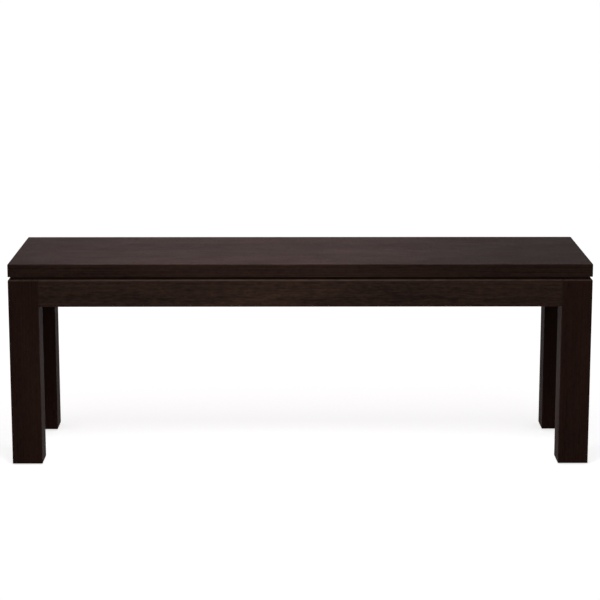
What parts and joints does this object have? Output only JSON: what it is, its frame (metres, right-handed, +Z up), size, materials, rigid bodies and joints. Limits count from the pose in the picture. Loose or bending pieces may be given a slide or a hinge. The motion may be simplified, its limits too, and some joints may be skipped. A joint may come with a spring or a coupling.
{
  "type": "dining bench",
  "caption": "Solid wood bench with a flat slab seat on a shadow gap, square straight legs and flush aprons joined by tenons, corner blocks and hanger bolts.",
  "frame": {"origin": "on the floor, under the middle of the seat", "axes": "+X along the bench's length, +Y from the front to the back, +Z up"},
  "size_m": [1.27, 0.36, 0.45],
  "materials": {
    "seat_wood": "espresso stain under a satin clear lacquer, grain along the boards",
    "frame_wood": "espresso stain under a satin clear lacquer, grain along each piece",
    "block_wood": "bare planed hardwood, no stain",
    "zinc_steel": "bright zinc plated steel",
    "nylon": "dark brown moulded nylon"
  },
  "bodies": {
    "root": {"apron_back": "frame_wood", "apron_front": "frame_wood", "apron_left": "frame_wood", "apron_right": "frame_wood", "block_screw_back_left": "zinc_steel", "block_screw_back_right": "zinc_steel", "block_screw_front_left": "zinc_steel", "block_screw_front_right": "zinc_steel", "button_back_left": "block_wood", "button_back_right": "block_wood", "button_front_left": "block_wood", "button_front_right": "block_wood", "button_screw_back_left": "zinc_steel", "button_screw_back_right": "zinc_steel", "button_screw_front_left": "zinc_steel", "button_screw_front_right": "zinc_steel", "centre_rail": "frame_wood", "corner_block_back_left": "block_wood", "corner_block_back_right": "block_wood", "corner_block_front_left": "block_wood", "corner_block_front_right": "block_wood", "glide_back_left": "nylon", "glide_back_right": "nylon", "glide_front_left": "nylon", "glide_front_right": "nylon", "glide_nail_back_left": "zinc_steel", "glide_nail_back_right": "zinc_steel", "glide_nail_front_left": "zinc_steel", "glide_nail_front_right": "zinc_steel", "hanger_bolt_back_left": "zinc_steel", "hanger_bolt_back_right": "zinc_steel", "hanger_bolt_front_left": "zinc_steel", "hanger_bolt_front_right": "zinc_steel", "hex_nut_back_left": "zinc_steel", "hex_nut_back_right": "zinc_steel", "hex_nut_front_left": "zinc_steel", "hex_nut_front_right": "zinc_steel", "leg_back_left": "frame_wood", "leg_back_right": "frame_wood", "leg_front_left": "frame_wood", "leg_front_right": "frame_wood", "rail_screw_back": "zinc_steel", "rail_screw_front": "zinc_steel", "seat_board_back": "seat_wood", "seat_board_front": "seat_wood", "seat_board_mid_back": "seat_wood", "seat_board_mid_front": "seat_wood", "washer_back_left": "zinc_steel", "washer_back_right": "zinc_steel", "washer_front_left": "zinc_steel", "washer_front_right": "zinc_steel"}
  },
  "joints": []
}
